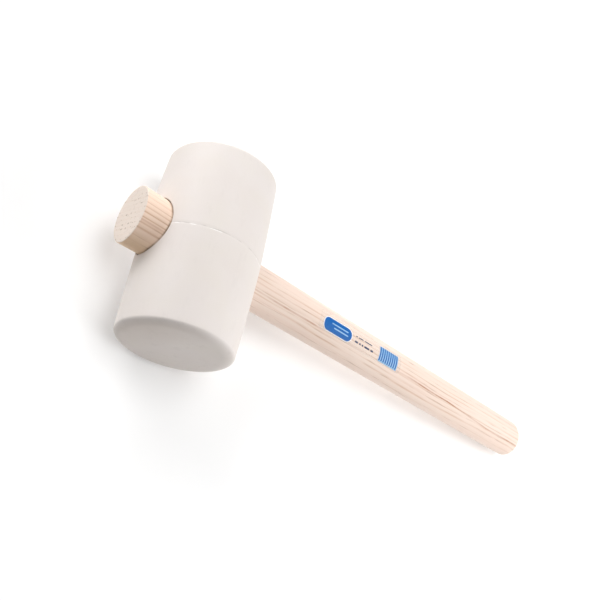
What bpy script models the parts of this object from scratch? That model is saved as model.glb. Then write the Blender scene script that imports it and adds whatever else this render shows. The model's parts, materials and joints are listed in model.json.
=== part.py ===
"""Rubber mallet: a solid moulded head jammed on the conical end of an ash handle.

The mallet lies as it would on a bench. The head's axis is along Y, the handle runs from the
head towards +X and droops until the head and the rounded grip end both touch Z = 0, and the
origin is at the middle of that footprint.
"""
import math

import bpy
from mathutils import Euler, Matrix, Vector

# Driving dimensions, in metres.
HEAD_LENGTH = 0.1256       # between the two striking faces
HEAD_RADIUS = 0.0375       # at the parting line, halfway along
HEAD_DRAFT = 0.0009        # radius that each half loses to the mould's straight draft
HEAD_CROWN = 0.0011        # radius that each half loses to its slight crown
RIM_DEPTH = 0.0033         # the rounding between a striking face and the side is an oval
RIM_WIDTH = 0.0070         # quarter: this deep along the axis and this wide across it

STUB_REACH = 0.0510        # from the head's axis to the sawn end of the stub
GRIP_REACH = 0.3374        # from the head's axis to the grip end
SECTION_RATIO = 0.873      # the handle's oval section: thickness over width
STUB_RADIUS = 0.01883      # half width at the stub's sawn end
CONE_TOP_RADIUS = 0.01865  # half width where the jamming cone begins
SHAFT_RADIUS = 0.01534     # half width of the shaft where the cone ends
GRIP_RADIUS = 0.01521      # half width at the grip end
CONE_TOP = -0.0360         # where the cone begins, along the handle from the head's axis
CONE_END = 0.0400          # where it ends
STUB_BREAK = 0.0007        # the stub's edge is only just broken
GRIP_ROUNDING = 0.0050     # the grip end is well rounded
SAW_SKEW = Euler((0.0, math.radians(1.3), math.radians(2.1)))   # how far the saw cut leans
EYE_OFFSET = 0.0010        # the eye lies this far from the parting plane

LABEL_START = 0.0930       # the film's edge nearer the head, from the head's axis
LABEL_LENGTH = 0.0840
LABEL_ARC = (math.radians(-31), math.radians(24))   # round the handle: + is towards +Y, 0 is up
LABEL_THICKNESS = 0.0002

GAP = 0.0003               # left between pieces that touch
SAW_WASTE = 0.0040         # the stub is turned this much too long, then sawn
SAW_BLOCK = 0.1000         # size of the block that stands for the sawn-off space
EYE_CUT_REACH = 1.3 * HEAD_RADIUS    # the eye's cutter runs out of the head on both sides

HEAD_STEPS = 72
HANDLE_STEPS = 56
RIM_STEPS = 6
SIDE_STEPS = 5
GRIP_STEPS = 6
SHAFT_STATIONS = (0.26, 0.18, 0.10)  # these divide the shaft's long facets
FILM_STEPS_ROUND = 16
FILM_STEPS_ALONG = 2
BREAK_SEGMENTS = 2
MERGE = 0.00001
SMOOTH_BELOW = math.radians(35)      # edges sharper than this are shaded as edges
BREAK_ABOVE = math.radians(60)       # edges sharper than this are broken with a bevel


def clear_scene():
    for thing in list(bpy.data.objects):
        bpy.data.objects.remove(thing, do_unlink=True)


def new_collection(name):
    group = bpy.data.collections.new(name)
    bpy.context.scene.collection.children.link(group)
    return group


def new_material(name, color, roughness, alpha=1.0):
    material = bpy.data.materials.new(name)
    material.use_nodes = True
    surface = material.node_tree.nodes["Principled BSDF"]
    surface.inputs["Base Color"].default_value = (*color, 1.0)
    surface.inputs["Roughness"].default_value = roughness
    surface.inputs["Metallic"].default_value = 0.0
    surface.inputs["Alpha"].default_value = alpha
    return material


def quarter(outer, width, depth, steps):
    """A rounded corner of a profile, from the end face down to the side, with both its ends.

    outer is the sharp corner (radial, axial) that the oval quarter takes off.
    """
    radial, axial = outer[0] - width, outer[1] - depth
    angles = [math.pi / 2 * (1 - step / steps) for step in range(steps + 1)]
    return [(radial + width * math.cos(angle), axial + depth * math.sin(angle))
            for angle in angles]


def turned(name, profile, steps, group):
    """A closed body from an outline (radial, axial) that runs down its outer side."""
    mesh = bpy.data.meshes.new(name)
    mesh.from_pydata([(radial, 0.0, axial) for radial, axial in profile],
                     [(i, i + 1) for i in range(len(profile) - 1)], [])
    piece = bpy.data.objects.new(name, mesh)
    group.objects.link(piece)
    screw = piece.modifiers.new("turn", "SCREW")
    screw.axis = "Z"
    screw.steps = steps
    screw.render_steps = steps
    screw.use_merge_vertices = True
    screw.merge_threshold = MERGE
    return piece


def bake(piece, shape, group):
    """Apply the piece's modifiers, then the given matrix, and return the finished object."""
    depsgraph = bpy.context.evaluated_depsgraph_get()
    mesh = bpy.data.meshes.new_from_object(piece.evaluated_get(depsgraph))
    name = piece.name
    bpy.data.objects.remove(piece, do_unlink=True)
    mesh.name = name
    mesh.transform(shape)
    mesh.shade_smooth()
    mesh.set_sharp_from_angle(angle=SMOOTH_BELOW)
    finished = bpy.data.objects.new(name, mesh)
    group.objects.link(finished)
    return finished


def cut(piece, cutter):
    boolean = piece.modifiers.new("cut", "BOOLEAN")
    boolean.operation = "DIFFERENCE"
    boolean.solver = "EXACT"
    boolean.object = cutter
    cutter.hide_render = True
    cutter.display_type = "WIRE"


def head_radius(axial):
    """The head's radius at a distance from the parting line."""
    share = abs(axial) / (HEAD_LENGTH / 2)
    return HEAD_RADIUS - HEAD_DRAFT * share - HEAD_CROWN * share ** 2


def handle_radius(along):
    """The handle's half width at a distance from the head's axis towards the grip."""
    stops = ((-STUB_REACH, STUB_RADIUS), (CONE_TOP, CONE_TOP_RADIUS),
             (CONE_END, SHAFT_RADIUS), (GRIP_REACH, GRIP_RADIUS))
    for (start, first), (end, last) in zip(stops, stops[1:]):
        if along <= end:
            return first + (last - first) * (along - start) / (end - start)
    return GRIP_RADIUS


def head_outline():
    half = HEAD_LENGTH / 2
    shoulder = half - RIM_DEPTH
    rim = quarter((head_radius(shoulder), half), RIM_WIDTH, RIM_DEPTH, RIM_STEPS)
    side = [(head_radius(shoulder * (1 - step / SIDE_STEPS)), shoulder * (1 - step / SIDE_STEPS))
            for step in range(1, SIDE_STEPS)]
    upper = [(0.0, half)] + rim + side
    lower = [(radial, -axial) for radial, axial in reversed(upper)]
    return upper + [(HEAD_RADIUS, 0.0)] + lower


def along_handle(width_ratio):
    """From a body turned about Z to the handle's frame: Z becomes X, and Z is flattened."""
    turn = Matrix.Rotation(math.pi / 2, 4, "Y")
    flatten = Matrix.Diagonal((1.0, 1.0, width_ratio, 1.0))
    return Matrix.Translation((0.0, EYE_OFFSET, 0.0)) @ flatten @ turn


def make_handle(parts, cutters):
    """The stub, the jamming cone and the shaft, turned as one and flattened to an oval."""
    long_stub = -STUB_REACH - SAW_WASTE
    outline = [(0.0, GRIP_REACH)]
    outline += quarter((GRIP_RADIUS, GRIP_REACH), GRIP_ROUNDING, GRIP_ROUNDING, GRIP_STEPS)
    outline += [(handle_radius(along), along) for along in (*SHAFT_STATIONS, CONE_END)]
    outline += [(handle_radius(CONE_TOP), CONE_TOP), (STUB_RADIUS, long_stub), (0.0, long_stub)]
    blank = bake(turned("handle_blank", outline, HANDLE_STEPS, parts),
                 along_handle(SECTION_RATIO), parts)
    blank.name = "handle"

    beyond = -STUB_REACH - SAW_BLOCK / 2
    bpy.ops.mesh.primitive_cube_add(size=SAW_BLOCK, location=(beyond, EYE_OFFSET, 0.0))
    saw = bpy.context.object
    saw.name = "saw_cutter"
    pivot = Matrix.Translation((-STUB_REACH, EYE_OFFSET, 0.0))
    saw.matrix_world = pivot @ SAW_SKEW.to_matrix().to_4x4() @ pivot.inverted() @ saw.matrix_world
    for group in list(saw.users_collection):
        group.objects.unlink(saw)
    cutters.objects.link(saw)
    cut(blank, saw)

    edge = blank.modifiers.new("broken_edge", "BEVEL")
    edge.width = STUB_BREAK
    edge.segments = BREAK_SEGMENTS
    edge.limit_method = "ANGLE"
    edge.angle_limit = BREAK_ABOVE
    edge.use_clamp_overlap = True
    blank.data.materials.append(new_material("ash_wood", (0.86, 0.71, 0.56), 0.55))
    return blank


def make_head(parts, cutters):
    """The moulded head, with the eye that the handle's cone jams in."""
    blank = turned("head_blank", head_outline(), HEAD_STEPS, parts)
    head = bake(blank, Matrix.Rotation(-math.pi / 2, 4, "X"), parts)
    head.name = "rubber_head"

    narrow, wide = SHAFT_RADIUS + GAP, CONE_TOP_RADIUS + GAP
    outline = [(0.0, EYE_CUT_REACH), (narrow, EYE_CUT_REACH), (narrow, CONE_END),
               (wide, CONE_TOP), (wide, -EYE_CUT_REACH), (0.0, -EYE_CUT_REACH)]
    ratio = (SHAFT_RADIUS * SECTION_RATIO + GAP) / (SHAFT_RADIUS + GAP)
    eye = bake(turned("eye_cutter", outline, HANDLE_STEPS, cutters), along_handle(ratio), cutters)
    cut(head, eye)
    head.data.materials.append(new_material("white_rubber", (0.87, 0.83, 0.80), 0.6))
    return head


def make_label(parts):
    """A clear film that follows the handle's oval, standing the usual gap off the wood."""
    start, end = LABEL_ARC
    points = []
    for j in range(FILM_STEPS_ALONG + 1):
        along = LABEL_START + LABEL_LENGTH * j / FILM_STEPS_ALONG
        radius = handle_radius(along)
        for i in range(FILM_STEPS_ROUND + 1):
            angle = start + (end - start) * i / FILM_STEPS_ROUND
            normal = Vector((0.0, SECTION_RATIO * math.sin(angle), math.cos(angle))).normalized()
            foot = Vector((along, EYE_OFFSET + radius * math.sin(angle),
                           radius * SECTION_RATIO * math.cos(angle)))
            points.append(foot + normal * GAP)
    row = FILM_STEPS_ROUND + 1
    faces = [(j * row + i, (j + 1) * row + i, (j + 1) * row + i + 1, j * row + i + 1)
             for j in range(FILM_STEPS_ALONG) for i in range(FILM_STEPS_ROUND)]
    mesh = bpy.data.meshes.new("label_film")
    mesh.from_pydata(points, [], faces)
    mesh.shade_smooth()
    label = bpy.data.objects.new("label_film", mesh)
    parts.objects.link(label)
    film = label.modifiers.new("film", "SOLIDIFY")
    film.thickness = LABEL_THICKNESS
    film.offset = 1.0
    label.data.materials.append(new_material("clear_film", (0.75, 0.80, 0.88), 0.3, 0.35))
    return label


def droop_angle():
    """How far the handle tips for the head's side and the grip end to touch one plane."""
    across = GRIP_RADIUS * SECTION_RATIO - GRIP_ROUNDING
    along = GRIP_REACH - GRIP_ROUNDING
    return math.asin((HEAD_RADIUS - GRIP_ROUNDING) / math.hypot(along, across)) \
        - math.atan2(across, along)


def world_box(pieces):
    depsgraph = bpy.context.evaluated_depsgraph_get()
    corners = []
    for piece in pieces:
        body = piece.evaluated_get(depsgraph)
        corners += [body.matrix_world @ vertex.co for vertex in body.to_mesh().vertices]
        body.to_mesh_clear()
    low = Vector([min(corner[i] for corner in corners) for i in range(3)])
    high = Vector([max(corner[i] for corner in corners) for i in range(3)])
    return low, high


def lay_down(pieces, cutters):
    """Tip the mallet about the head's axis and centre its footprint on the origin."""
    stand = bpy.data.objects.new("mallet", None)
    cutters.objects.link(stand)
    for piece in pieces + list(cutters.objects):
        if piece is not stand:
            piece.parent = stand
    stand.rotation_euler = (0.0, droop_angle(), 0.0)
    bpy.context.view_layer.update()
    low, high = world_box(pieces)
    stand.location = (-(low.x + high.x) / 2, -(low.y + high.y) / 2, -low.z)
    bpy.context.view_layer.update()


def main():
    clear_scene()
    parts = new_collection("rubber_mallet")
    cutters = new_collection("cutters")
    handle = make_handle(parts, cutters)
    head = make_head(parts, cutters)
    label = make_label(parts)
    lay_down([head, handle, label], cutters)


main()
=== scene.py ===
"""The looks of the rubber mallet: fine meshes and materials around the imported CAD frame.

Every piece is built in the mallet's own straight frame and then laid down as the CAD is: there X
runs along the handle from the head's axis to the grip, Y is the head's axis and Z is up. The
materials map their coordinates back to that frame, so they follow the grain and the mould.
"""
import json
import math

import bmesh
import bpy
from mathutils import Matrix, Vector, noise


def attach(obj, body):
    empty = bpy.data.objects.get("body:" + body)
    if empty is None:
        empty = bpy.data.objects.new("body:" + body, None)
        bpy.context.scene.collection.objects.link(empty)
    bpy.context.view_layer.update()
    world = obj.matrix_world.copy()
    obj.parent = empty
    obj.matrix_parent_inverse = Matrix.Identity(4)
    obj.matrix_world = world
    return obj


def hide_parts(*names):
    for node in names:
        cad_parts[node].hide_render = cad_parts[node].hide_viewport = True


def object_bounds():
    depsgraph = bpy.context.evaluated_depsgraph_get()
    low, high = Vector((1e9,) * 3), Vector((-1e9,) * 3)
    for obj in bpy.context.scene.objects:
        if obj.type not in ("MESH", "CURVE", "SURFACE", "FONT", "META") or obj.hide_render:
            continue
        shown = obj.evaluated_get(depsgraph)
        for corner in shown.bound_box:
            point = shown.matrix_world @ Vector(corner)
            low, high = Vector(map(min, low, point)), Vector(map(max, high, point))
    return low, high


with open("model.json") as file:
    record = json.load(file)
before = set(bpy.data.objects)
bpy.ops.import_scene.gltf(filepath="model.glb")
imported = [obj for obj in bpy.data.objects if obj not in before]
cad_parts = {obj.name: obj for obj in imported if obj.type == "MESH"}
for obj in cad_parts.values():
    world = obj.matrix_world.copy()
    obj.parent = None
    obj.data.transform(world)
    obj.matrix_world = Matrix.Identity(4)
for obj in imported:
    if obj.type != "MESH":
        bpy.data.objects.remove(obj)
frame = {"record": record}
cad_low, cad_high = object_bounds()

# ---------------------------------------------------------------------------------------------
# Dimensions, in metres: the same driving dimensions as the CAD.

MOUNTS = {mount["name"]: Vector(mount["pos_m"]) for mount in frame["record"]["mounts"]}
FACE_A = MOUNTS["striking_face_a"]
FACE_B = MOUNTS["striking_face_b"]
HEAD_CENTRE = (FACE_A + FACE_B) / 2
HALF_LENGTH = (FACE_A - FACE_B).length / 2
HEAD_RADIUS = 0.0375
HEAD_DRAFT = 0.0009
HEAD_CROWN = 0.0011
RIM_DEPTH = 0.0033
RIM_WIDTH = 0.0070
SHOULDER = HALF_LENGTH - RIM_DEPTH
STUB_REACH = 0.0510
GRIP_REACH = 0.3374
SECTION_RATIO = 0.873      # the handle's oval: half height against half width
STUB_RADIUS = 0.01883
CONE_TOP_RADIUS = 0.01865
SHAFT_RADIUS = 0.01534
GRIP_RADIUS = 0.01521
CONE_TOP = -0.0360
CONE_END = 0.0400
CONE_SLOPE = (SHAFT_RADIUS - CONE_TOP_RADIUS) / (CONE_END - CONE_TOP)
CONE_MIDDLE = SHAFT_RADIUS - CONE_SLOPE * CONE_END      # the cone's radius at the head's axis
STUB_BREAK = 0.0007
GRIP_ROUNDING = 0.0050
SAW_LEAN = (math.tan(math.radians(2.1)), math.tan(math.radians(1.3)))   # along Y, along Z
EYE_OFFSET = 0.0010        # how far to +Y of the head's middle the eye and the handle lie
LABEL_START = 0.0930
LABEL_LENGTH = 0.0840
LABEL_ARC = (math.radians(-31), math.radians(24))

# What only the looks have.
EYE_CLEARANCE = 0.00045    # the dark line between the wood and the rubber
LIP_RADIUS = 0.0007        # rounding of the eye's two mouths
MOUTH_AT = 0.93            # the mouths are sized at this share of the head's radius
FLASH_HEIGHT = 0.00016     # the thin rib that the mould leaves where its halves meet
FLASH_WIDTH = 0.00014
FLASH_STRETCHES = 6.0      # how often the rib comes and goes round the head
FLASH_BEADS = 22.0         # how often its height wavers
HOLLOW_WIDTH = 0.0010      # half width of the slight hollow that the rib stands in
HOLLOW_DEPTH = 0.00010
SEAM_HIGHLIGHT_AT = 0.00065        # how far to -Y of the seam the painted highlights lie
DRAWN_IN_SCALE = 0.9998

# How finely the meshes are divided.
HEAD_COLUMNS = 360
HALF_TURN = HEAD_COLUMNS // 2
COLUMN_TURN = 2 * math.pi / HEAD_COLUMNS
PATCH_COLUMNS = 36         # columns on each side of an eye's mouth that its patch takes up
PATCH_ROWS_END = 0.027     # the patches reach this far to either side of the seam
PATCH_ROWS = 23
STRAIGHT_ROWS_END = 0.002  # up to here the rows run straight to the mouth, as the seam does
FIRST_ROW_STEP = 0.00007
ROW_STEP_GROWTH = 1.22
OUTER_ROWS = 22            # from a patch to the rim
PATCH_LEVELS = 16          # from a patch's border to the mouth's lip
PATCH_CROWDING = 1.3       # above 1 the levels crowd towards the lip
LIP_STEPS = 6
RIM_STEPS = 18
FACE_RINGS = (0.96, 0.88, 0.74, 0.56, 0.36, 0.16)      # shares of the flat face's radius
EYE_STEPS = 12
HANDLE_SIDES = 144
SAWN_RINGS = (0.12, 0.3, 0.5, 0.7, 0.86)               # shares of the stub's radius
BREAK_STEPS = 4
LEAN_END = -0.041          # from the sawn end to here the rings straighten up
LEAN_STEPS = 7
SHAFT_STEPS = 190
GRIP_STEPS = 14
GRIP_RINGS = (0.8, 0.5, 0.2)                           # shares of the grip end's flat


def droop_angle():
    """How far the handle tips for the head's side and the grip end to touch one plane."""
    across = GRIP_RADIUS * SECTION_RATIO - GRIP_ROUNDING
    along = GRIP_REACH - GRIP_ROUNDING
    return math.asin((HEAD_RADIUS - GRIP_ROUNDING) / math.hypot(along, across)) \
        - math.atan2(across, along)


LAID_DOWN = Matrix.Translation(HEAD_CENTRE) @ Matrix.Rotation(droop_angle(), 4, "Y")
HANDLE_AXIS = (math.cos(droop_angle()), 0.0, -math.sin(droop_angle()))
# The finer meshes bulge a few microns past the CAD's facets. This draws them back inside its box.
CAD_MIDDLE = (Vector(cad_low) + Vector(cad_high)) / 2
DRAWN_IN = Matrix.Translation(CAD_MIDDLE) @ Matrix.Scale(DRAWN_IN_SCALE, 4) \
    @ Matrix.Translation(-CAD_MIDDLE)


def smooth_step(value):
    value = max(0.0, min(1.0, value))
    return value * value * (3 - 2 * value)


def blend(start, end, share):
    return start + (end - start) * share


# ---------------------------------------------------------------------------------------------
# Materials

class Shader:
    """A material's node tree, with short calls to add to it."""

    def __init__(self, name):
        self.material = bpy.data.materials.new(name)
        self.material.use_nodes = True
        self.tree = self.material.node_tree
        self.surface = self.tree.nodes["Principled BSDF"]
        self.coordinates = self.add("ShaderNodeTexCoord")
        straight = self.add("ShaderNodeMapping", {"Vector": self.coordinates.outputs["Object"],
                                                  "Location": HEAD_CENTRE,
                                                  "Rotation": (0.0, droop_angle(), 0.0)},
                            vector_type="TEXTURE")
        self.place = straight.outputs["Vector"]

    def add(self, kind, inputs=None, **settings):
        made = self.tree.nodes.new(kind)
        for key, value in settings.items():
            setattr(made, key, value)
        for key, value in (inputs or {}).items():
            self.put(made.inputs[key], value)
        return made

    def put(self, socket, value):
        if isinstance(value, bpy.types.NodeSocket):
            self.tree.links.new(value, socket)
        else:
            socket.default_value = value

    def calc(self, operation, first, second=0.0, third=0.0):
        made = self.add("ShaderNodeMath", {0: first, 1: second, 2: third}, operation=operation)
        return made.outputs[0]

    def product(self, first, *others):
        for other in others:
            first = self.calc("MULTIPLY", first, other)
        return first

    def scaled(self, factors, offset=(0.0, 0.0, 0.0)):
        made = self.add("ShaderNodeMapping", {"Vector": self.place, "Scale": factors,
                                              "Location": offset})
        return made.outputs["Vector"]

    def along(self, direction):
        """Distance along a direction in the mallet's straight frame."""
        made = self.add("ShaderNodeVectorMath", {0: self.place, 1: direction},
                        operation="DOT_PRODUCT")
        return made.outputs["Value"]

    def length(self, vector):
        return self.add("ShaderNodeVectorMath", {0: vector}, operation="LENGTH").outputs["Value"]

    def noise(self, vector, scale, detail=2.0, roughness=0.5):
        made = self.add("ShaderNodeTexNoise", {"Vector": vector, "Scale": scale, "Detail": detail,
                                               "Roughness": roughness})
        return made.outputs["Fac"]

    def ramp(self, value, stops):
        """A curve of greys through stops, each a position and a tone."""
        made = self.add("ShaderNodeValToRGB", {"Fac": value})
        elements = made.color_ramp.elements
        while len(elements) < len(stops):
            elements.new(0.5)
        for element, (position, tone) in zip(elements, stops):
            element.position = position
            element.color = (tone, tone, tone, 1.0)
        return made.outputs["Color"]

    def spread(self, value, low, high, start=0.0, end=1.0):
        """Map low..high to start..end, held at the ends."""
        made = self.add("ShaderNodeMapRange", {"Value": value, "From Min": low, "From Max": high,
                                               "To Min": start, "To Max": end})
        return made.outputs["Result"]

    def mix(self, share, first, second):
        made = self.add("ShaderNodeMix", data_type="RGBA")
        self.put(made.inputs["Factor"], share)
        for socket, value in ((made.inputs[6], first), (made.inputs[7], second)):
            if isinstance(value, tuple):
                value = (*value, 1.0)
            self.put(socket, value)
        return made.outputs[2]

    def bump(self, height, distance, strength, normal=None):
        inputs = {"Height": height, "Distance": distance, "Strength": strength}
        if normal is not None:
            inputs["Normal"] = normal
        return self.add("ShaderNodeBump", inputs).outputs["Normal"]

    def finish(self, color, roughness, normal=None, **constants):
        self.put(self.surface.inputs["Base Color"], color)
        self.put(self.surface.inputs["Roughness"], roughness)
        if normal is not None:
            self.put(self.surface.inputs["Normal"], normal)
        for name, value in constants.items():
            self.surface.inputs[name.replace("_", " ")].default_value = value
        return self.material


def junction_shade_patches(shader):
    """How strongly the painted shade where the wood meets the rubber shows, in patches, alike on
    both.
    """
    return shader.spread(shader.noise(shader.place, 62.0, 2.0, 0.6), 0.42, 0.60, 0.30, 1.0)


# Tones of the rubber, of what lies on it, and of the shade and highlights painted on it.
RUBBER_DIM = (0.738, 0.679, 0.645)
RUBBER_PALE = (0.755, 0.702, 0.672)
RUBBER_WARM = (0.745, 0.690, 0.622)
RUBBER_GRAIN = (0.52, 0.48, 0.45)
SCUFF_TONE = (0.50, 0.46, 0.43)
# Painted shade on the striking faces, with a little dirt: darkest near their edge on the stub's
# side.
FACE_SHADE_AND_GRIME_TONE = (0.545, 0.475, 0.425)
# Painted shade in the eye, where the rubber meets the wood.
EYE_SHADE_TONE = (0.24, 0.18, 0.13)
# A broken darker line along the seam.
SEAM_LINE_TONE = (0.42, 0.38, 0.35)
# Painted highlights along one side of the seam.
SEAM_HIGHLIGHT_TONE = (0.94, 0.92, 0.90)

SCUFFS_REACH = (0.009, 0.001)              # scuffs grow over this stretch before the end
FACE_SHADE_DIRECTION = (0.95, 0.0, -0.31)       # painted shade: the faces get lighter this way
FACE_SHADE_REACH = (-0.028, -0.004)             # over this stretch, counted from the head's axis
EYE_SHADE_WIDTH = 0.0003                    # past the clearance, the painted shade fades out over this much


def white_rubber():
    """Matt moulded rubber: cloudy, finely pitted, worn at its ends; painted shade on its striking
    faces, with a little dirt, and in its eye; a darker line along its seam, with painted highlights
    beside it.
    """
    shader = Shader("white_rubber")
    across = shader.calc("ABSOLUTE", shader.along((0.0, 1.0, 0.0)))
    clouds = shader.noise(shader.place, 26.0, 3.0, 0.55)
    color = rubber_tone(shader, clouds)
    color = scuffed(shader, color, across)
    # Painted shade on the striking faces, with a little dirt.
    color = grime_and_face_shade(shader, color, across, clouds)
    # Painted shade in the eye, where the rubber meets the wood.
    color = shade_in_eye(shader, color)
    # A darker line along the seam, and painted highlights along one side of it.
    color = seam_line_and_highlights(shader, color, across)

    skin = shader.noise(shader.place, 1500.0, 3.0, 0.6)
    orange_peel = shader.noise(shader.place, 240.0, 2.0, 0.5)
    sag = shader.noise(shader.place, 40.0, 1.0, 0.5)
    normal = shader.bump(skin, 0.00004, 0.5)
    normal = shader.bump(orange_peel, 0.00008, 0.35, normal)
    normal = shader.bump(sag, 0.0006, 0.12, normal)
    roughness = shader.spread(shader.noise(shader.place, 90.0, 3.0, 0.6), 0.3, 0.7, 0.50, 0.64)
    return shader.finish(color, roughness, normal, IOR=1.46, Specular_IOR_Level=0.42)


def rubber_tone(shader, clouds):
    """Three whites that drift into one another, under a fine dark grain."""
    tints = shader.noise(shader.scaled((1.0, 1.0, 1.0), (3.1, 1.7, 0.4)), 44.0, 2.0, 0.5)
    color = shader.mix(shader.spread(clouds, 0.35, 0.65), RUBBER_DIM, RUBBER_PALE)
    color = shader.mix(shader.spread(tints, 0.42, 0.68, 0.0, 0.35), color, RUBBER_WARM)
    grain = shader.noise(shader.place, 2600.0, 2.0, 0.6)
    return shader.mix(shader.spread(grain, 0.3, 0.7, 0.0, 0.05), color, RUBBER_GRAIN)


def scuffed(shader, color, across):
    """Faint scuffs all over, more of them towards the striking faces."""
    start, end = SCUFFS_REACH
    worn = shader.spread(across, HALF_LENGTH - start, HALF_LENGTH - end)
    scuffs = shader.noise(shader.scaled((1.0, 0.35, 1.0)), 150.0, 4.0, 0.7)
    scuffs = shader.spread(scuffs, 0.56, 0.74)
    marks = shader.product(scuffs, shader.spread(worn, 0.0, 1.0, 0.10, 0.26))
    return shader.mix(marks, color, SCUFF_TONE)


def grime_and_face_shade(shader, color, across, clouds):
    """The striking faces are darker: a little dirt, and painted shade that is strongest near their
    edge on the stub's side.
    """
    patchy = shader.calc("MULTIPLY_ADD", clouds, 0.0016, across)
    struck = shader.spread(patchy, HALF_LENGTH - 0.0012, HALF_LENGTH + 0.0004)
    face_shade_and_grime = shader.spread(shader.along(FACE_SHADE_DIRECTION), *FACE_SHADE_REACH, 0.66, 0.19)
    return shader.mix(shader.product(struck, face_shade_and_grime), color, FACE_SHADE_AND_GRIME_TONE)


def shade_in_eye(shader, color):
    """Painted shade in the eye, up to the edge of its mouths. How far out is counted from the wood.
    """
    outward = shader.scaled((0.0, 1.0, 1.0 / SECTION_RATIO), (0.0, -EYE_OFFSET, 0.0))
    wood = shader.calc("MULTIPLY_ADD", shader.along((1.0, 0.0, 0.0)), CONE_SLOPE, CONE_MIDDLE)
    clear = shader.calc("SUBTRACT", shader.length(outward), wood)
    junction_shade = shader.spread(clear, EYE_CLEARANCE, EYE_CLEARANCE + EYE_SHADE_WIDTH, 0.75, 0.0)
    return shader.mix(shader.product(junction_shade, junction_shade_patches(shader)), color, EYE_SHADE_TONE)


def seam_line_and_highlights(shader, color, across):
    """A broken darker line along the seam, and broken painted highlights along one side of it."""
    seam = shader.spread(across, 0.00012, 0.0005, 1.0, 0.0)
    broken = shader.spread(shader.noise(shader.place, 120.0, 2.0, 0.6), 0.43, 0.64, 0.0, 0.46)
    color = shader.mix(shader.product(seam, broken), color, SEAM_LINE_TONE)

    # Painted highlights along one side of the seam.
    beside = shader.calc("ABSOLUTE", shader.calc("ADD", shader.along((0.0, 1.0, 0.0)), SEAM_HIGHLIGHT_AT))
    seam_highlights = shader.noise(shader.scaled((1.0, 0.4, 1.0), (0.6, 0.0, 0.3)), 130.0, 2.0, 0.6)
    seam_highlights = shader.product(shader.spread(seam_highlights, 0.52, 0.60, 0.0, 0.80),
                            shader.spread(beside, 0.00012, 0.00042, 1.0, 0.0))
    return shader.mix(seam_highlights, color, SEAM_HIGHLIGHT_TONE)


# Tones of the wood, of what lies on it, and of the shade painted on it.
CREAM = (0.835, 0.700, 0.612)
BLUSH = (0.835, 0.670, 0.582)
STUB_TONE = (0.900, 0.660, 0.500)
# Painted shade on the handle's lower flank, strongest on the stub.
FLANK_SHADE_TONE = (0.760, 0.545, 0.350)
FIBRE_TONE = (0.71, 0.50, 0.36)
RING_TONE = (0.56, 0.320, 0.175)
PORE_TONE = (0.34, 0.21, 0.13)
VEIN_TONE = (0.43, 0.17, 0.07)
# Painted shade on the wood where it leaves the rubber.
WOOD_SHADE_TONE = (0.26, 0.17, 0.10)
SAWN_TONE = (0.775, 0.675, 0.600)
SAWN_RING_TONE = (0.66, 0.47, 0.33)
SAWN_PORE_TONE = (0.30, 0.22, 0.16)

GRAIN_TILT = math.radians(77)   # the growth rings' layers face this way, from up towards +Y
LAYER_WANDER = 0.0050           # and wander within a band this wide
RING_SPACING = 0.0031
RING_START = 0.0003             # one ring lies this far out along the layers
RING_PROFILE = ((0.0, 0.30), (0.05, 1.0), (0.15, 0.80), (0.30, 0.22), (0.70, 0.0), (0.93, 0.05),
                (1.0, 0.30))    # how dark a ring is, from its early wood to its late wood
STUB_ENDS = (-0.034, -0.024)    # the stub's tones give way to the shaft's inside the head
VEIN_PLACE = -0.0040            # one reddish vein lies this far out along the layers
VEIN_RISE = 0.0028              # it moves out by this much along the label
VEIN_FALL = 0.0036              # and back in by this much before the grip's end
VEIN_EDGES = (0.00022, 0.00075)                       # from its core to where it has faded
VEIN_STRENGTH = ((0.0, 0.30), (0.14, 0.30), (0.18, 0.80), (0.26, 0.75), (0.30, 0.25), (0.55, 0.20),
                 (0.60, 0.80), (0.72, 0.95), (0.76, 0.45), (0.84, 0.65), (0.90, 0.35),
                 (0.95, 0.80))  # along the handle, as a share of the way to the grip's end


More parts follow.
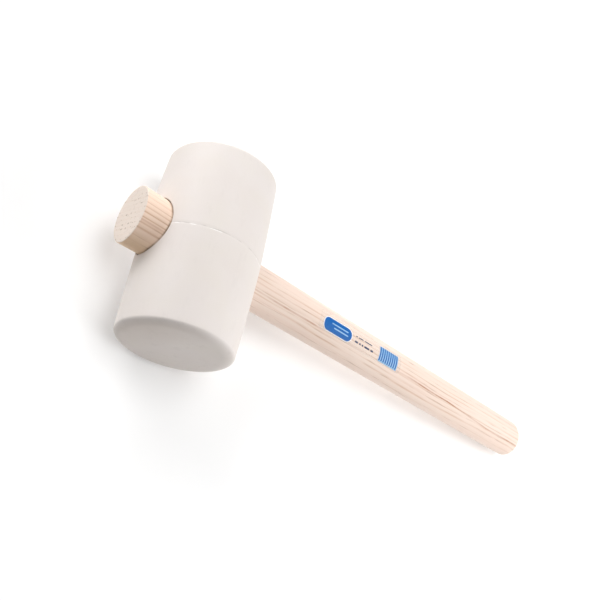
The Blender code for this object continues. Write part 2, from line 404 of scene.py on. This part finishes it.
def ash_wood():
    """Turned ash: growth rings cut lengthwise, open pores in their early wood, fine fibre."""
    shader = Shader("ash_wood")
    along = shader.along((1.0, 0.0, 0.0))
    layer = grain_layer(shader)
    early = early_wood(shader, layer)
    stub = shader.spread(along, *STUB_ENDS, 1.0, 0.0)
    end_grain = cut_across(shader)
    side_grain = shader.calc("SUBTRACT", 1.0, end_grain)

    # Fibre and pores are long along the handle and fine across it.
    fibre = shader.noise(shader.scaled((16.0, 1500.0, 1500.0)), 1.0, 3.0, 0.65)
    pores = shader.noise(shader.scaled((75.0, 2300.0, 2300.0), (0.3, 0.1, 0.7)), 1.0, 1.0, 0.4)
    pores = shader.product(shader.spread(pores, 0.58, 0.68), early)

    # The wood's tones, with painted shade on its lower flank.
    color = wood_tones_and_flank_shade(shader, layer, stub, side_grain)
    color = shader.mix(shader.spread(fibre, 0.30, 0.72, 0.0, 0.14), color, FIBRE_TONE)
    lines = shader.product(ring_lines(shader, layer, early, stub), side_grain)
    color = shader.mix(shader.product(lines, 0.76), color, RING_TONE)
    color = shader.mix(shader.product(side_grain, 0.50, pores), color, PORE_TONE)
    color = shader.mix(shader.product(vein(shader, along, layer), side_grain), color, VEIN_TONE)
    # Painted shade on the wood where it leaves the rubber.
    color = shader.mix(shade_at_head(shader), color, WOOD_SHADE_TONE)

    # End grain: rings only just seen, open pores as specks strung along them.
    specks = shader.noise(shader.scaled((0.0, 620.0, 620.0), (0.0, 0.37, 0.11)), 1.0, 1.0, 0.5)
    specks = shader.product(shader.spread(specks, 0.59, 0.66),
                            shader.spread(early, 0.15, 0.8, 0.18, 1.0))
    cut = shader.mix(shader.product(early, 0.16), SAWN_TONE, SAWN_RING_TONE)
    cut = shader.mix(shader.product(specks, 0.75), cut, SAWN_PORE_TONE)
    color = shader.mix(end_grain, color, cut)

    normal = shader.bump(fibre, 0.00005, 0.35)
    pitted = shader.calc("ADD", pores, shader.product(specks, end_grain))
    normal = shader.bump(pitted, 0.00012, -0.6, normal)
    teeth = shader.noise(shader.scaled((0.0, 1100.0, 60.0)), 1.0, 1.0, 0.5)
    normal = shader.bump(shader.product(teeth, end_grain), 0.00012, 0.5, normal)
    roughness = shader.spread(fibre, 0.3, 0.7, 0.46, 0.60)
    roughness = shader.calc("MULTIPLY_ADD", end_grain, 0.18, roughness)
    return shader.finish(color, roughness, normal, IOR=1.5, Specular_IOR_Level=0.38)


def grain_layer(shader):
    """How far out along the growth rings' layers a place is."""
    wander = shader.noise(shader.scaled((7.0, 26.0, 26.0)), 1.0, 2.0, 0.5)
    return shader.calc("MULTIPLY_ADD", shader.calc("SUBTRACT", wander, 0.5), LAYER_WANDER,
                       shader.along((0.0, math.sin(GRAIN_TILT), math.cos(GRAIN_TILT))))


def early_wood(shader, layer):
    """Rings: a sharp early-wood edge that fades into the pale late wood."""
    # The rings lie at uneven distances. The noise for that is the same all along one ring.
    place = shader.add("ShaderNodeCombineXYZ", {"X": shader.product(layer, 210.0)})
    uneven = shader.noise(place.outputs["Vector"], 1.0, 1.0, 0.5)
    phase = shader.calc("DIVIDE", shader.calc("SUBTRACT", layer, RING_START), RING_SPACING)
    phase = shader.calc("MULTIPLY_ADD", shader.calc("SUBTRACT", uneven, 0.5), 0.9, phase)
    return shader.ramp(shader.calc("FRACT", phase), RING_PROFILE)


def cut_across(shader):
    """1 where the grain is cut across: the sawn end and the grip's rounded end. 0 elsewhere."""
    facing = shader.add("ShaderNodeVectorMath", {0: shader.coordinates.outputs["Normal"],
                                                 1: HANDLE_AXIS}, operation="DOT_PRODUCT")
    return shader.spread(shader.calc("ABSOLUTE", facing.outputs["Value"]), 0.55, 0.85)


def ring_lines(shader, layer, early, stub):
    """The rings as broken lines, strong along the middle of the upper side and faint below it."""
    shown = shader.product(shader.spread(layer, 0.0060, 0.0110, 1.0, 0.25),
                           shader.spread(layer, -0.0135, -0.0085, 0.18, 1.0),
                           shader.calc("MULTIPLY_ADD", stub, 0.25, 0.75))
    streaks = shader.noise(shader.scaled((26.0, 640.0, 640.0), (0.0, 0.2, 0.1)), 1.0, 2.0, 0.55)
    dashes = shader.calc("MAXIMUM", shader.spread(streaks, 0.40, 0.60, 0.10, 1.0),
                         shader.product(stub, 0.75))
    return shader.product(early, shown, dashes)


def wood_tones_and_flank_shade(shader, layer, stub, side_grain):
    """The wood's own tones, cream and blush and warmer on the stub, and tan painted shade on its
    lower flank.
    """
    broad = shader.noise(shader.scaled((9.0, 150.0, 150.0)), 1.0, 2.0, 0.5)
    color = shader.mix(shader.spread(broad, 0.35, 0.65), CREAM, BLUSH)
    color = shader.mix(shader.product(stub, 0.55), color, STUB_TONE)
    # Painted shade: tan on the lower flank, strongest on the stub.
    flank_shade = shader.product(shader.spread(layer, -0.0165, -0.0095, 1.0, 0.0),
                           shader.calc("MULTIPLY_ADD", stub, 0.80, 0.04), side_grain)
    return shader.mix(flank_shade, color, FLANK_SHADE_TONE)


def vein(shader, along, layer):
    """One reddish vein, strong in places and nearly faded out between them."""
    rise = shader.spread(along, 0.10, 0.19, VEIN_PLACE, VEIN_PLACE + VEIN_RISE)
    fall = shader.spread(along, 0.235, 0.290, 0.0, -VEIN_FALL)
    course = shader.calc("ADD", rise, fall)
    off_course = shader.calc("ABSOLUTE", shader.calc("SUBTRACT", layer, course))
    strength = shader.ramp(shader.calc("DIVIDE", along, GRIP_REACH), VEIN_STRENGTH)
    beads = shader.noise(shader.scaled((60.0, 60.0, 60.0), (0.9, 0.0, 0.0)), 1.0, 2.0, 0.6)
    return shader.product(shader.spread(off_course, *VEIN_EDGES, 1.0, 0.0), strength,
                          shader.spread(beads, 0.34, 0.56, 0.45, 1.0))


def shade_at_head(shader):
    """Painted shade where the wood leaves the rubber."""
    from_axis = shader.length(shader.scaled((1.0, 0.0, 1.0)))
    junction_shade = shader.spread(from_axis, HEAD_RADIUS - 0.0003, HEAD_RADIUS + 0.0004, 0.70, 0.0)
    return shader.product(junction_shade, junction_shade_patches(shader))


FILM_WHITE = (0.93, 0.92, 0.90)
FILM_GREY = (0.90, 0.90, 0.90)
PINHOLE_TONE = (0.85, 0.80, 0.74)
# For each ink its fresh tone, its worn tone and how far the pinholes in it show.
INKS = {"white_ink": ((0.90, 0.90, 0.90), (0.84, 0.85, 0.86), 0.05),
        "blue_ink": ((0.006, 0.110, 0.40), (0.009, 0.140, 0.46), 0.05),
        "pale_ink": ((0.33, 0.55, 0.76), (0.26, 0.47, 0.70), 0.05),
        "dark_ink": ((0.045, 0.050, 0.11), (0.08, 0.09, 0.16), 0.2)}


def clear_film():
    """Thin clear film: nearly invisible but for its soft, slightly rippled shine."""
    shader = Shader("clear_film")
    ripple = shader.noise(shader.place, 160.0, 2.0, 0.5)
    color = shader.mix(shader.spread(ripple, 0.3, 0.7), FILM_WHITE, FILM_GREY)
    roughness = shader.spread(ripple, 0.3, 0.7, 0.22, 0.34)
    normal = shader.bump(ripple, 0.00005, 0.25)
    return shader.finish(color, roughness, normal, Alpha=0.04, IOR=1.45)


def ink(name, fresh, worn, pinholes_show):
    """Printed ink: nearly flat, with the mottle and pinholes of a roller."""
    shader = Shader(name)
    mottle = shader.noise(shader.place, 900.0, 3.0, 0.6)
    pinholes = shader.spread(shader.noise(shader.place, 3200.0, 1.0, 0.4), 0.66, 0.74)
    tone = shader.mix(shader.spread(mottle, 0.3, 0.7), fresh, worn)
    tone = shader.mix(shader.product(pinholes, pinholes_show), tone, PINHOLE_TONE)
    roughness = shader.spread(mottle, 0.3, 0.7, 0.30, 0.42)
    return shader.finish(tone, roughness, shader.bump(mottle, 0.00002, 0.3), IOR=1.45)


# ---------------------------------------------------------------------------------------------
# Meshes

class Body:
    """Vertices and faces being gathered for one piece."""

    def __init__(self):
        self.points = []
        self.faces = []

    def point(self, x, y, z):
        self.points.append((x, y, z))
        return len(self.points) - 1

    def strip(self, first, second, closed=False):
        """Quads between two rows of the same length."""
        count = len(first)
        for k in range(count if closed else count - 1):
            n = (k + 1) % count
            self.faces.append((first[k], first[n], second[n], second[k]))

    def sleeve(self, rings):
        """Closed bands from each ring to the next."""
        for first, second in zip(rings, rings[1:]):
            self.strip(first, second, closed=True)

    def fan(self, ring, centre):
        for k in range(len(ring)):
            self.faces.append((ring[k], ring[(k + 1) % len(ring)], centre))

    def piece(self, name, material, replaces=None):
        mesh = bpy.data.meshes.new(name)
        mesh.from_pydata(self.points, [], self.faces)
        mesh.transform(DRAWN_IN @ LAID_DOWN)
        turn_outwards(mesh)
        mesh.materials.append(material)
        mesh.shade_smooth()
        made = bpy.data.objects.new(name, mesh)
        bpy.context.scene.collection.objects.link(made)
        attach(made, "root")
        if replaces:
            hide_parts(replaces)


def turn_outwards(mesh):
    """Make every face of a closed body look outwards."""
    shape = bmesh.new()
    shape.from_mesh(mesh)
    bmesh.ops.recalc_face_normals(shape, faces=shape.faces)
    shape.to_mesh(mesh)
    shape.free()


def handle_radius(along):
    """The handle's half width at a distance from the head's axis towards the grip."""
    stops = ((-STUB_REACH, STUB_RADIUS), (CONE_TOP, CONE_TOP_RADIUS),
             (CONE_END, SHAFT_RADIUS), (GRIP_REACH, GRIP_RADIUS))
    for (start, first), (end, last) in zip(stops, stops[1:]):
        if along <= end:
            return first + (last - first) * (along - start) / (end - start)
    return GRIP_RADIUS


def head_radius(across, around):
    """The head's radius at a place along its axis and an angle around it, with the seam."""
    share = abs(across) / HALF_LENGTH
    smooth = HEAD_RADIUS - HEAD_DRAFT * share - HEAD_CROWN * share ** 2
    where = Vector((math.cos(around), 0.0, math.sin(around)))
    uneven = 0.5 + 0.5 * noise.noise(where * FLASH_STRETCHES + Vector((0.0, 2.0, 0.0)))
    rib = FLASH_HEIGHT * smooth_step((uneven - 0.30) / 0.4) \
        * (0.55 + 0.45 * noise.noise(where * FLASH_BEADS))
    hollow = HOLLOW_DEPTH * math.exp(-(across / HOLLOW_WIDTH) ** 2)
    return smooth - hollow + rib * math.exp(-(across / FLASH_WIDTH) ** 2)


def seam_rows():
    """Distances from the seam of the head's rows on one side of it, finer close to it."""
    rows = [0.0]
    step = FIRST_ROW_STEP
    while rows[-1] < STRAIGHT_ROWS_END - step / 2:
        rows.append(rows[-1] + step)
        step *= ROW_STEP_GROWTH
    rows[-1] = STRAIGHT_ROWS_END
    return rows + [blend(STRAIGHT_ROWS_END, PATCH_ROWS_END, (k + 1) / PATCH_ROWS)
                   for k in range(PATCH_ROWS)]


def mirrored(rows):
    return [-row for row in reversed(rows[1:])] + rows


def mouth_outline(side):
    """Half sizes of the eye's oval mouth where it opens on that side of the head."""
    wood = handle_radius(side * HEAD_RADIUS * MOUTH_AT)
    return wood + EYE_CLEARANCE, wood * SECTION_RATIO + EYE_CLEARANCE


def mouth_spokes(side, rows):
    """For each vertex round the patch's border, its place (across, up) and its foot on the mouth."""
    width, height = mouth_outline(side)
    corner = math.sqrt(0.5)
    last = rows[-1]

    def foot_of_row(across):
        limit = EYE_OFFSET + math.copysign(width * corner, across)
        if abs(across) <= STRAIGHT_ROWS_END:
            y = across
        else:
            share = (abs(across) - STRAIGHT_ROWS_END) / (last - STRAIGHT_ROWS_END)
            y = blend(math.copysign(STRAIGHT_ROWS_END, across), limit, share)
        return y, height * math.sqrt(max(0.0, 1 - ((y - EYE_OFFSET) / width) ** 2))

    def foot_of_column(column):
        z = height * corner * column / PATCH_COLUMNS
        return width * math.sqrt(1 - (z / height) ** 2), z

    spokes = []
    for across in rows:                                        # up the side at +Z
        y, z = foot_of_row(across)
        spokes.append((across, PATCH_COLUMNS, y, z))
    for column in range(PATCH_COLUMNS - 1, -PATCH_COLUMNS, -1):   # along the end at +Y
        y, z = foot_of_column(column)
        spokes.append((last, column, EYE_OFFSET + y, z))
    for across in reversed(rows):                              # down the side at -Z
        y, z = foot_of_row(across)
        spokes.append((across, -PATCH_COLUMNS, y, -z))
    for column in range(-PATCH_COLUMNS + 1, PATCH_COLUMNS):    # along the end at -Y
        y, z = foot_of_column(column)
        spokes.append((-last, column, EYE_OFFSET - y, z))
    return spokes


def make_head(material):
    """The moulded head: a revolved skin with a patch round each mouth of the eye."""
    body = Body()
    inner_rows = mirrored(seam_rows())
    grid = make_skin(body, inner_rows)
    cap_head(body, grid[0], -1)
    cap_head(body, grid[-1], 1)
    near, far = (open_mouth(body, grid, inner_rows, side) for side in (-1, 1))
    line_eye(body, near, far)
    body.piece("mallet_head", material, "rubber_head")


def head_point(body, radius, across, column):
    angle = column * COLUMN_TURN
    return body.point(radius * math.cos(angle), across, radius * math.sin(angle))


def make_skin(body, inner_rows):
    """The skin from rim to rim, open where the two patches go. Returns its rows of vertices."""
    outer = [blend(PATCH_ROWS_END, SHOULDER, (k + 1) / OUTER_ROWS) for k in range(OUTER_ROWS)]
    rows = [-row for row in reversed(outer)] + inner_rows + outer
    last_inner = OUTER_ROWS + len(inner_rows) - 1

    def beside_mouth(column):
        return min(column % HALF_TURN, HALF_TURN - column % HALF_TURN) < PATCH_COLUMNS

    grid = []
    for j, across in enumerate(rows):
        ring = []
        for i in range(HEAD_COLUMNS):
            if OUTER_ROWS < j < last_inner and beside_mouth(i):
                ring.append(None)
            else:
                ring.append(head_point(body, head_radius(across, i * COLUMN_TURN), across, i))
        grid.append(ring)
    for j in range(len(rows) - 1):
        for i in range(HEAD_COLUMNS):
            if OUTER_ROWS <= j < last_inner and beside_mouth(i + 0.5):
                continue
            n = (i + 1) % HEAD_COLUMNS
            body.faces.append((grid[j][i], grid[j][n], grid[j + 1][n], grid[j + 1][i]))
    return grid


def cap_head(body, edge, end):
    """The rounded rim and the flat striking face at one end."""
    rings = [edge]
    for step in range(1, RIM_STEPS + 1):
        angle = math.pi / 2 * step / RIM_STEPS
        across = end * (SHOULDER + RIM_DEPTH * math.sin(angle))
        inset = RIM_WIDTH * (1 - math.cos(angle))
        rings.append([head_point(body, head_radius(SHOULDER, i * COLUMN_TURN) - inset, across, i)
                      for i in range(HEAD_COLUMNS)])
    flat_radius = head_radius(SHOULDER, 0.0) - RIM_WIDTH
    for share in FACE_RINGS:
        rings.append([head_point(body, flat_radius * share, end * HALF_LENGTH, i)
                      for i in range(HEAD_COLUMNS)])
    body.sleeve(rings)
    body.fan(rings[-1], body.point(0.0, end * HALF_LENGTH, 0.0))


def on_head(side, across, up):
    """The point of the head's skin seen at (across, up) from that side along the handle."""
    around = math.asin(up / HEAD_RADIUS)
    if side < 0:
        around = math.pi - around
    radius = head_radius(across, around)
    return side * math.sqrt(radius ** 2 - up ** 2)


def open_mouth(body, grid, inner_rows, side):
    """The skin between a patch's border and the mouth's rounded lip. Returns the lip's last ring."""
    width, height = mouth_outline(side)
    border, feet = [], []
    for across, column, foot_y, foot_z in mouth_spokes(side, inner_rows):
        row = OUTER_ROWS + min(range(len(inner_rows)), key=lambda k: abs(inner_rows[k] - across))
        i = column % HEAD_COLUMNS if side > 0 else (HALF_TURN - column) % HEAD_COLUMNS
        border.append(grid[row][i])
        slope = Vector(((foot_y - EYE_OFFSET) / width ** 2, foot_z / height ** 2)).normalized()
        feet.append((foot_y, foot_z, slope))
    rings = [border]
    for level in range(1, PATCH_LEVELS + 1):
        share = (1 - level / PATCH_LEVELS) ** PATCH_CROWDING
        ring = []
        for index, (foot_y, foot_z, slope) in zip(border, feet):
            edge = body.points[index]
            y = blend(foot_y + slope.x * LIP_RADIUS, edge[1], share)
            z = blend(foot_z + slope.y * LIP_RADIUS, edge[2], share)
            ring.append(body.point(on_head(side, y, z), y, z))
        rings.append(ring)
    for step in range(1, LIP_STEPS + 1):
        angle = math.pi / 2 * step / LIP_STEPS
        out = LIP_RADIUS * (1 - math.sin(angle))
        sunk = LIP_RADIUS * (1 - math.cos(angle))
        ring = []
        for foot_y, foot_z, slope in feet:
            y, z = foot_y + slope.x * out, foot_z + slope.y * out
            ring.append(body.point(on_head(side, y, z) - side * sunk, y, z))
        rings.append(ring)
    body.sleeve(rings)
    return rings[-1]


def line_eye(body, near, far):
    """The eye's conical wall between the lips of its two mouths."""
    rings = [near]
    for step in range(1, EYE_STEPS):
        ring = []
        for first, last in zip(near, far):
            start, end = Vector(body.points[first]), Vector(body.points[last])
            x = blend(start.x, end.x, step / EYE_STEPS)
            turn_start = math.atan2(start.z / SECTION_RATIO, start.y - EYE_OFFSET)
            turn_end = math.atan2(end.z / SECTION_RATIO, end.y - EYE_OFFSET)
            if abs(turn_end - turn_start) > math.pi:
                turn_end += math.copysign(2 * math.pi, turn_start)
            turn = blend(turn_start, turn_end, step / EYE_STEPS)
            radius = handle_radius(x)
            ring.append(body.point(x, EYE_OFFSET + (radius + EYE_CLEARANCE) * math.cos(turn),
                                   (radius * SECTION_RATIO + EYE_CLEARANCE) * math.sin(turn)))
        rings.append(ring)
    body.sleeve(rings + [far])


def handle_stations():
    """The handle's rings from the sawn end to the grip's: place, half width and lean. The lean is
    how far a ring follows the skew saw cut, 0 to 1."""
    stations = [(-STUB_REACH, STUB_RADIUS * share, 1.0) for share in SAWN_RINGS]
    for step in range(BREAK_STEPS + 1):
        angle = math.pi / 2 * step / BREAK_STEPS
        stations.append((-STUB_REACH + STUB_BREAK * (1 - math.cos(angle)),
                         STUB_RADIUS - STUB_BREAK * (1 - math.sin(angle)), 1.0))
    for step in range(1, LEAN_STEPS + 1):
        along = blend(-STUB_REACH + STUB_BREAK, LEAN_END, step / LEAN_STEPS)
        stations.append((along, handle_radius(along), 1.0 - step / LEAN_STEPS))
    shaft_end = GRIP_REACH - GRIP_ROUNDING
    for step in range(1, SHAFT_STEPS + 1):
        along = blend(LEAN_END, shaft_end, step / SHAFT_STEPS)
        stations.append((along, handle_radius(along), 0.0))
    for step in range(1, GRIP_STEPS + 1):
        angle = math.pi / 2 * step / GRIP_STEPS
        stations.append((shaft_end + GRIP_ROUNDING * math.sin(angle),
                         GRIP_RADIUS - GRIP_ROUNDING * (1 - math.cos(angle)), 0.0))
    flat = GRIP_RADIUS - GRIP_ROUNDING
    return stations + [(GRIP_REACH, flat * share, 0.0) for share in GRIP_RINGS]


def handle_ring(body, along, radius, lean):
    """One oval ring of the handle."""
    ring = []
    for k in range(HANDLE_SIDES):
        angle = 2 * math.pi * k / HANDLE_SIDES
        side, up = radius * math.sin(angle), radius * SECTION_RATIO * math.cos(angle)
        x = along + lean * (up * SAW_LEAN[1] - side * SAW_LEAN[0])
        ring.append(body.point(x, EYE_OFFSET + side, up))
    return ring


def make_handle(material):
    """The ash handle: sawn stub, jamming cone, shaft and rounded grip end."""
    body = Body()
    stations = handle_stations()
    previous = handle_ring(body, *stations[0])
    body.fan(previous[::-1], body.point(-STUB_REACH, EYE_OFFSET, 0.0))
    for station in stations[1:]:
        ring = handle_ring(body, *station)
        body.strip(ring, previous, closed=True)
        previous = ring
    body.fan(previous, body.point(GRIP_REACH, EYE_OFFSET, 0.0))
    body.piece("mallet_handle", material, "handle")


# ---------------------------------------------------------------------------------------------
# The label's print, in the film's own frame: lengths along the handle from the film's edge, and
# arc lengths round it from the film's middle, positive towards +Y.

ARC_SHARE = 0.975          # roughly: the oval's arc under the film, against a circle's
LABEL_MIDDLE = sum(LABEL_ARC) / 2
LABEL_HALF_ARC = (LABEL_ARC[1] - LABEL_ARC[0]) / 2 * SHAFT_RADIUS * ARC_SHARE

FILM_LIFT = 0.00003
FILM_THICKNESS = 0.00005
FILM_CORNER = 0.0025
INK_THICKNESS = 0.00002
LAYER_GAP = 0.00001
INK_LIFT = FILM_LIFT + FILM_THICKNESS + LAYER_GAP
SECOND_LIFT = INK_LIFT + INK_THICKNESS + LAYER_GAP      # ink printed over ink
THIRD_LIFT = SECOND_LIFT + INK_THICKNESS + LAYER_GAP

# Rounded rectangles of ink: start along the film, middle round it, length, width, corner radius.
BADGE_BORDER = (0.0034, -0.0012, 0.0280, 0.0104, 0.0049)
BADGE = (0.0040, -0.0012, 0.0268, 0.0092, 0.0043)
BADGE_STRIPES = ((0.0110, 0.0003, 0.0160, 0.0009, 0.0004),
                 (0.0135, -0.0022, 0.0140, 0.0009, 0.0004))
BAR_BLOCK = (0.0603, -0.0004, 0.0200, 0.0112, 0.0004)

DASHES_START = 0.0348
DASH_GAP = 0.0014
DASH_CORNER = 0.0002
# For each row of dashes its middle round the film, its width and the dashes' lengths.
DASH_ROWS = ((0.0014, 0.0007, (0.0016, 0.0046, 0.0078)),
             (-0.0024, 0.0013, (0.0030, 0.0014, 0.0012, 0.0050, 0.0026)))
BARS_START = 0.0607
BARS_MIDDLE = -0.0001
BAR_COUNT = 9
BAR_PITCH = 0.0022
BAR_WIDTH = 0.0012
BAR_LENGTH = 0.0102        # round the handle
BAR_CORNER = 0.0001

PRINT_STEP_ALONG = 0.002
PRINT_STEP_ROUND = 0.0008
CORNER_STEPS = 8
SMALL_CORNER = 0.0003      # corners up to this size are a single chamfer
HAIR = 1e-6                # keeps a short straight stretch between two corners


def on_handle(along, round_it, lift):
    """A point above the wood at a distance along the handle and an arc length round it."""
    radius = handle_radius(along)
    angle = LABEL_MIDDLE + round_it / (radius * ARC_SHARE)
    foot = Vector((along, EYE_OFFSET + radius * math.sin(angle),
                   radius * SECTION_RATIO * math.cos(angle)))
    normal = Vector((0.0, SECTION_RATIO * math.sin(angle), math.cos(angle))).normalized()
    return foot + normal * lift


def print_patch(body, start, middle, length, width, corner, lift, thickness):
    """A thin rounded rectangle wrapped on the handle, as a closed sheet."""
    corner = min(corner, length / 2 - HAIR, width / 2 - HAIR)
    corner_steps = CORNER_STEPS if corner > SMALL_CORNER else 1
    stations = [corner * (1 - math.cos(math.pi / 2 * step / corner_steps))
                for step in range(corner_steps + 1)]
    body_steps = max(1, round((length - 2 * corner) / PRINT_STEP_ALONG))
    stations += [blend(corner, length - corner, (k + 1) / body_steps) for k in range(body_steps)]
    stations += [length - station for station in reversed(stations[:corner_steps])]
    across = max(2, round(width / PRINT_STEP_ROUND))

    def half_width(station):
        inset = min(station, length - station)
        if inset >= corner:
            return width / 2
        return width / 2 - corner + math.sqrt(max(0.0, corner ** 2 - (corner - inset) ** 2))

    def sheet(height):
        return [[body.point(*on_handle(LABEL_START + start + station,
                                       middle + half_width(station) * (2 * k / across - 1), height))
                 for k in range(across + 1)] for station in stations]

    low, high = sheet(lift), sheet(lift + thickness)
    for k in range(len(stations) - 1):
        body.strip(low[k + 1], low[k])
        body.strip(high[k], high[k + 1])
    body.strip(low[0], high[0])
    body.strip(low[-1][::-1], high[-1][::-1])
    body.strip([row[0] for row in high], [row[0] for row in low])
    body.strip([row[-1] for row in low], [row[-1] for row in high])


def print_layer(name, material, lift, patches):
    """One piece of ink, of one colour and at one height above the wood."""
    layer = Body()
    for patch in patches:
        print_patch(layer, *patch, lift, INK_THICKNESS)
    layer.piece(name, material)


def dash_patches():
    patches = []
    for middle, width, lengths in DASH_ROWS:
        start = DASHES_START
        for length in lengths:
            patches.append((start, middle, length, width, DASH_CORNER))
            start += length + DASH_GAP
    return patches


def make_label(film_material, inks):
    """The clear film, and on it a plain blue badge, rows of dashes and an even block of bars."""
    film = Body()
    print_patch(film, 0.0, 0.0, LABEL_LENGTH, 2 * LABEL_HALF_ARC, FILM_CORNER, FILM_LIFT,
                FILM_THICKNESS)
    film.piece("label_film_sheet", film_material, "label_film")

    print_layer("label_badge_border", inks["white_ink"], INK_LIFT, [BADGE_BORDER])
    print_layer("label_badge", inks["blue_ink"], SECOND_LIFT, [BADGE])
    print_layer("label_badge_stripes", inks["pale_ink"], THIRD_LIFT, BADGE_STRIPES)
    print_layer("label_dashes", inks["dark_ink"], INK_LIFT, dash_patches())
    print_layer("label_block", inks["pale_ink"], INK_LIFT, [BAR_BLOCK])
    bars = [(BARS_START + BAR_PITCH * k, BARS_MIDDLE, BAR_WIDTH, BAR_LENGTH, BAR_CORNER)
            for k in range(BAR_COUNT)]
    print_layer("label_bars", inks["blue_ink"], SECOND_LIFT, bars)


# ---------------------------------------------------------------------------------------------
# Stage, light and camera

CAMERA_PLACE = Vector((-0.31221, -0.21855, 0.40486))
CAMERA_AZIMUTH = math.radians(-47.728)
CAMERA_ELEVATION = math.radians(47.540)
CAMERA_ROLL = math.radians(68.001)        # the camera is rolled well onto its side
LENS = 44.70                              # both in millimetres
SENSOR_WIDTH = 36.0
CLIP_START = 0.01

FLOOR_REACH = 4.0
FLOOR_TONE = (0.90, 0.90, 0.90, 1.0)
WHITE = (1.0, 1.0, 1.0, 1.0)
FLOOR_GLOW = 0.10                         # the floor is a faintly lit table
FAR_GLOW = 0.80                           # only seen: keeps the floor pale up to the horizon
FAR_GLOW_GROWS = (0.5, 1.6)               # over this distance from the frame's origin
SURROUND_GLOW = 0.08
BACKDROP_GLOW = 0.93

# Softboxes round the head: name, bearing and elevation in degrees, power in watts.
SOFTBOXES = (("key_light", 135.0, 20.0, 17.6),
             ("back_light", 90.0, 20.0, 8.2),
             ("end_light", 0.0, 20.0, 8.5),
             ("top_light", 90.0, 88.0, 12.8))
SOFTBOX_DISTANCE = 1.5
SOFTBOX_SIZE = 1.2
FILL_PLACE = Vector((0.30, -0.28, 0.28))  # a small box near the grip, to its -Y side
FILL_TARGET = Vector((-0.02, 0.0, 0.03))
FILL_SIZE = 0.3
FILL_POWER = 0.97


def make_camera():
    data = bpy.data.cameras.new("camera")
    data.lens = LENS
    data.sensor_width = SENSOR_WIDTH
    data.clip_start = CLIP_START
    camera = bpy.data.objects.new("camera", data)
    bpy.context.scene.collection.objects.link(camera)
    level = math.cos(CAMERA_ELEVATION)
    back = Vector((math.sin(CAMERA_AZIMUTH) * level, -math.cos(CAMERA_AZIMUTH) * level,
                   math.sin(CAMERA_ELEVATION)))
    upright = (-back).to_track_quat("-Z", "Y").to_matrix().to_4x4()
    camera.matrix_world = Matrix.Translation(CAMERA_PLACE) @ upright \
        @ Matrix.Rotation(CAMERA_ROLL, 4, "Z")
    bpy.context.scene.camera = camera


def make_floor():
    corners = [(x * FLOOR_REACH, y * FLOOR_REACH, 0.0)
               for x, y in ((-1, -1), (1, -1), (1, 1), (-1, 1))]
    mesh = bpy.data.meshes.new("floor")
    mesh.from_pydata(corners, [], [(0, 1, 2, 3)])
    shader = Shader("pale_floor")
    path = shader.add("ShaderNodeLightPath")
    distance = shader.length(shader.coordinates.outputs["Object"])
    far = shader.spread(distance, *FAR_GLOW_GROWS, 0.0, FAR_GLOW)
    glow = shader.calc("MULTIPLY_ADD", far, path.outputs["Is Camera Ray"], FLOOR_GLOW)
    shader.put(shader.surface.inputs["Emission Strength"], glow)
    mesh.materials.append(shader.finish(FLOOR_TONE, 0.9, Specular_IOR_Level=0.1,
                                        Emission_Color=WHITE))
    made = bpy.data.objects.new("floor", mesh)
    bpy.context.scene.collection.objects.link(made)


def towards(bearing, elevation):
    """A direction. Its bearing is counted from +X towards +Y, in degrees."""
    bearing, elevation = math.radians(bearing), math.radians(elevation)
    return Vector((math.cos(bearing) * math.cos(elevation),
                   math.sin(bearing) * math.cos(elevation), math.sin(elevation)))


def make_softbox(name, place, target, size, power):
    data = bpy.data.lights.new(name, "AREA")
    data.shape = "DISK"
    data.size = size
    data.energy = power
    light = bpy.data.objects.new(name, data)
    bpy.context.scene.collection.objects.link(light)
    light.location = place
    light.rotation_mode = "QUATERNION"
    light.rotation_quaternion = (target - place).to_track_quat("-Z", "Y")
    light.visible_camera = False


def make_world():
    """A dim white surround for light, shown as a pale backdrop behind the floor."""
    world = bpy.data.worlds.new("studio")
    world.use_nodes = True
    tree = world.node_tree
    sky = tree.nodes["Background"]
    sky.inputs["Color"].default_value = WHITE
    path = tree.nodes.new("ShaderNodeLightPath")
    level = tree.nodes.new("ShaderNodeMapRange")
    level.inputs["To Min"].default_value = SURROUND_GLOW
    level.inputs["To Max"].default_value = BACKDROP_GLOW
    tree.links.new(path.outputs["Is Camera Ray"], level.inputs["Value"])
    tree.links.new(level.outputs["Result"], sky.inputs["Strength"])
    bpy.context.scene.world = world


def make_studio():
    bpy.context.scene.view_settings.view_transform = "Standard"
    make_world()
    for name, bearing, elevation, power in SOFTBOXES:
        place = HEAD_CENTRE + towards(bearing, elevation) * SOFTBOX_DISTANCE
        make_softbox(name, place, HEAD_CENTRE, SOFTBOX_SIZE, power)
    make_softbox("near_fill", FILL_PLACE, FILL_TARGET, FILL_SIZE, FILL_POWER)


# ---------------------------------------------------------------------------------------------


make_head(white_rubber())
make_handle(ash_wood())
make_label(clear_film(), {name: ink(name, *looks) for name, looks in INKS.items()})
make_floor()
make_camera()
make_studio()
